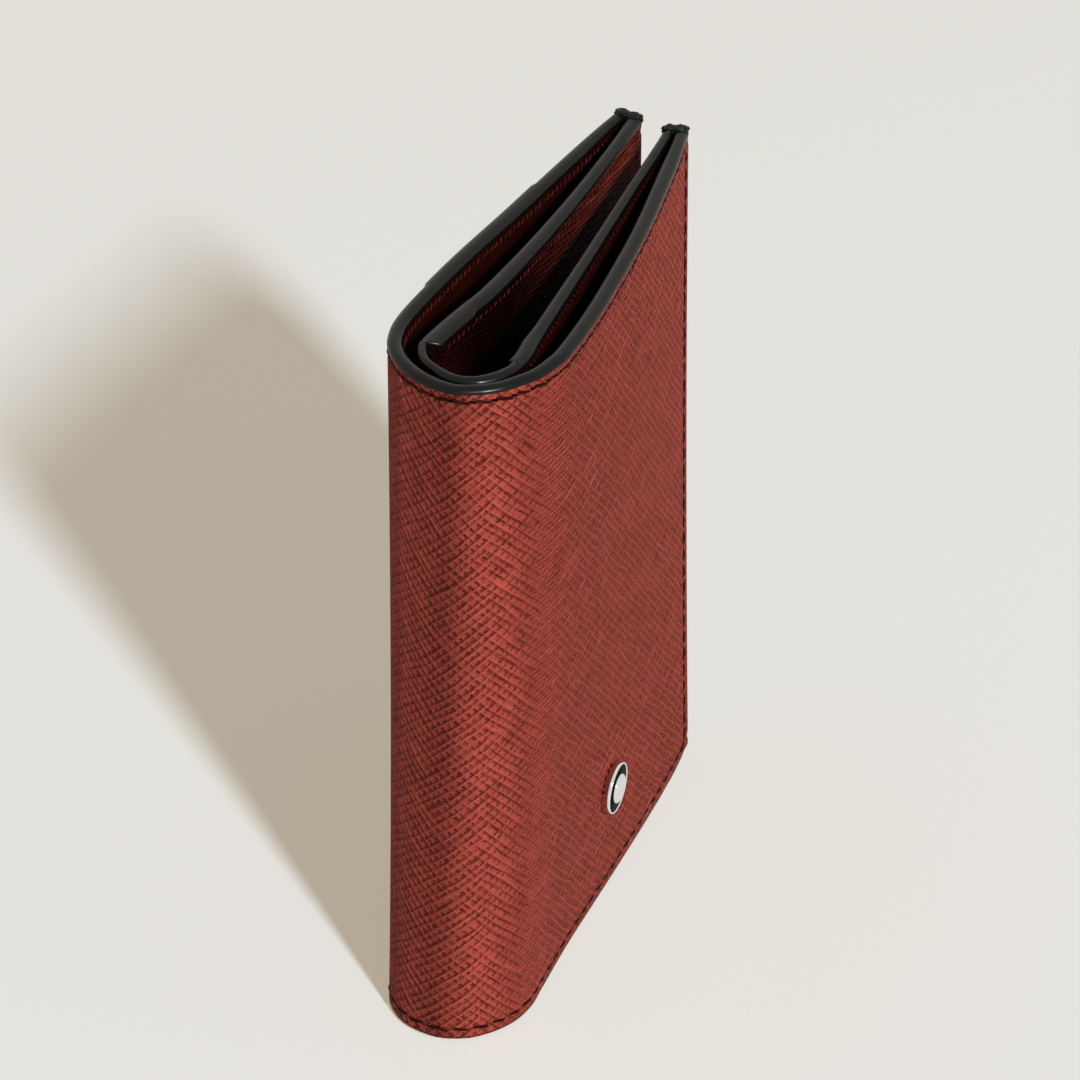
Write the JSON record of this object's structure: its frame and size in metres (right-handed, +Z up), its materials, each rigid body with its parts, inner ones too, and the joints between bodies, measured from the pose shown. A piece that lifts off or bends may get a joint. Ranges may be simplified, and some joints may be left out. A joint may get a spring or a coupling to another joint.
{
  "type": "bifold mini wallet",
  "caption": "Folded bifold wallet standing on its edge, with hinged covers, a divider that makes a note compartment, card pockets and a small round emblem.",
  "frame": {"origin": "centre of the footprint, on the surface that the wallet stands on", "axes": "+Z up along the spine, +X from the spine to the free edges, -Y out of the front cover with the emblem"},
  "size_m": [0.0834, 0.026, 0.11],
  "materials": {
    "cover_leather": "cross-hatched embossed leather, satin",
    "lining": "smooth dark lining leather, matte",
    "card_leather": "cross-hatched embossed leather, satin",
    "edge_paint": "satin black edge paint",
    "polished_metal": "polished",
    "washer_steel": "plain"
  },
  "bodies": {
    "spine": {"spine_cover_leather": "cover_leather", "spine_cover_lining": "lining", "spine_divider": "lining", "spine_cover_top_edge": "edge_paint", "spine_divider_top_edge": "edge_paint", "spine_bottom_edge": "edge_paint"},
    "front_wing": {"front_cover_leather": "cover_leather", "front_cover_lining": "lining", "front_divider": "lining", "front_slip_panel": "card_leather", "front_card_pocket": "card_leather", "front_cover_top_edge": "edge_paint", "front_panel_top_edge": "edge_paint", "front_bottom_edge": "edge_paint", "front_free_edge": "edge_paint", "emblem_bezel": "polished_metal", "emblem_dome": "polished_metal", "emblem_washer": "washer_steel"},
    "back_wing": {"back_cover_leather": "cover_leather", "back_cover_lining": "lining", "back_divider": "lining", "back_slip_panel": "card_leather", "back_card_pocket": "card_leather", "back_cover_top_edge": "edge_paint", "back_panel_top_edge": "edge_paint", "back_bottom_edge": "edge_paint", "back_free_edge": "edge_paint"}
  },
  "joints": [
    {"name": "front_fold", "type": "hinge", "parent": "spine", "child": "front_wing", "pos_m": [-0.03375, -0.00936, 0], "axis": [0, 0, -1], "range_deg": [-1.3, 95], "stiffness_Nm_per_rad": 0.01},
    {"name": "back_fold", "type": "hinge", "parent": "spine", "child": "back_wing", "pos_m": [-0.03125, 0.01131, 0], "axis": [0, 0, 1], "range_deg": [-1.3, 95], "stiffness_Nm_per_rad": 0.01}
  ]
}
